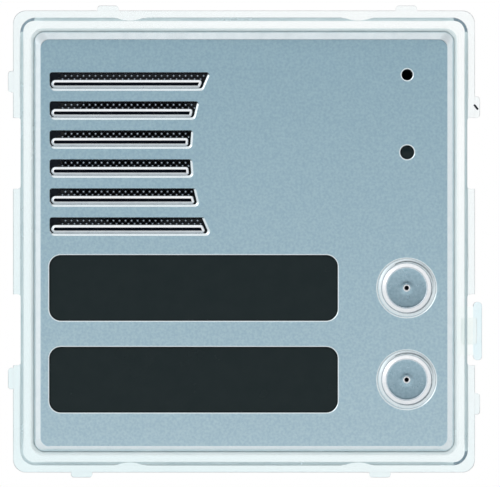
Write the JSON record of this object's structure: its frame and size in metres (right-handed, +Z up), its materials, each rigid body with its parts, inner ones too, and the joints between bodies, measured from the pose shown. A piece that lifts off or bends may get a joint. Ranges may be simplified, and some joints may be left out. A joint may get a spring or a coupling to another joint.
{
  "type": "door intercom module",
  "caption": "Flush square door intercom module with louvred loudspeaker, name windows and round sprung call buttons in a clear surround.",
  "frame": {"origin": "centre of the seating plane, where the rear of the flange meets the wall frame", "axes": "+X to the right seen from the front, +Y from the front into the wall, +Z up"},
  "size_m": [0.0934, 0.032, 0.093],
  "materials": {
    "clear_plastic": "clear moulded polycarbonate, slightly cyan, polished",
    "satin_metal": "fine bead-blasted, cool grey, polished bevel",
    "button_metal": "satin face with a polished rim",
    "smoked_plastic": "dark smoked polycarbonate, glossy",
    "card": "matte dark blank card",
    "opal_plastic": "milky translucent acrylic",
    "black_mesh": "black painted perforated sheet",
    "black_plastic": "fine-textured moulding",
    "pale_plastic": "fine-textured moulding, pale grey",
    "rubber": "soft matte",
    "pale_rubber": "soft matte",
    "board": "green solder mask on glass-fibre laminate",
    "component": "moulded component body",
    "steel": "zinc plated",
    "ferrite": "sintered, matte",
    "paper_cone": "pressed fibre",
    "terminal_green": "moulded",
    "trimmer_blue": "moulded",
    "red_wire": "insulated wire",
    "led": "moulded lens"
  },
  "bodies": {
    "module": {"clear_surround": "clear_plastic", "front_plate": "satin_metal", "front_gasket": "pale_rubber", "speaker_mesh": "black_mesh", "inner_carrier": "black_plastic", "upper_name_window": "smoked_plastic", "upper_name_insert": "card", "upper_light_guide": "opal_plastic", "upper_left_backlight": "led", "upper_right_backlight": "led", "lower_name_window": "smoked_plastic", "lower_name_insert": "card", "lower_light_guide": "opal_plastic", "lower_left_backlight": "led", "lower_right_backlight": "led", "upper_button_seal": "rubber", "lower_button_seal": "rubber", "upper_button_spring": "steel", "lower_button_spring": "steel", "upper_switch_body": "black_plastic", "lower_switch_body": "black_plastic", "speaker_gasket": "rubber", "speaker_basket": "steel", "speaker_cone": "paper_cone", "speaker_dust_cap": "paper_cone", "speaker_magnet": "ferrite", "speaker_yoke": "steel", "speaker_lead_left": "component", "speaker_lead_right": "red_wire", "microphone_boot": "rubber", "microphone_capsule": "steel", "sensor_lens": "smoked_plastic", "status_led": "led", "main_board": "board", "audio_chip": "component", "supply_capacitor": "component", "line_transformer": "ferrite", "volume_trimmer_body": "trimmer_blue", "microphone_trimmer_body": "trimmer_blue", "terminal_block": "terminal_green", "clamp_screw_1": "steel", "clamp_screw_2": "steel", "clamp_screw_3": "steel", "clamp_screw_4": "steel", "link_socket": "black_plastic", "rear_housing": "pale_plastic", "housing_screw_1": "steel", "housing_screw_2": "steel", "housing_screw_3": "steel", "housing_screw_4": "steel", "catch_spring": "steel"},
    "upper_button": {"upper_call_button": "button_metal", "upper_button_clip": "steel"},
    "lower_button": {"lower_call_button": "button_metal", "lower_button_clip": "steel"},
    "upper_plunger": {"upper_switch_plunger": "component"},
    "lower_plunger": {"lower_switch_plunger": "component"},
    "volume_rotor": {"volume_trimmer_rotor": "opal_plastic"},
    "microphone_rotor": {"microphone_trimmer_rotor": "opal_plastic"},
    "catch": {"side_catch": "clear_plastic"}
  },
  "joints": [
    {"name": "upper_call_button", "type": "slide", "parent": "module", "child": "upper_button", "axis": [0, 1, 0], "range_m": [0, 0.0008], "stiffness_N_per_m": 500, "springref_m": -0.0012, "deforming": ["upper_button_spring"]},
    {"name": "lower_call_button", "type": "slide", "parent": "module", "child": "lower_button", "axis": [0, 1, 0], "range_m": [0, 0.0008], "stiffness_N_per_m": 500, "springref_m": -0.0012, "deforming": ["lower_button_spring"]},
    {"name": "upper_switch_plunger", "type": "slide", "parent": "module", "child": "upper_plunger", "axis": [0, 1, 0], "range_m": [0, 0.00046]},
    {"name": "lower_switch_plunger", "type": "slide", "parent": "module", "child": "lower_plunger", "axis": [0, 1, 0], "range_m": [0, 0.00046]},
    {"name": "volume_trimmer", "type": "hinge", "parent": "module", "child": "volume_rotor", "pos_m": [0.03, 0.013, -0.006], "axis": [0, 1, 0], "range_deg": [-135, 135]},
    {"name": "microphone_trimmer", "type": "hinge", "parent": "module", "child": "microphone_rotor", "pos_m": [0.018, 0.013, -0.006], "axis": [0, 1, 0], "range_deg": [-135, 135]},
    {"name": "side_catch", "type": "slide", "parent": "module", "child": "catch", "axis": [-1, 0, 0], "range_m": [0, 0.0012], "stiffness_N_per_m": 300, "springref_m": -0.0015, "deforming": ["catch_spring"]}
  ],
  "couplings": [
    {"joint": "upper_switch_plunger", "follows": "upper_call_button", "ratio": 0.5625},
    {"joint": "lower_switch_plunger", "follows": "lower_call_button", "ratio": 0.5625}
  ]
}
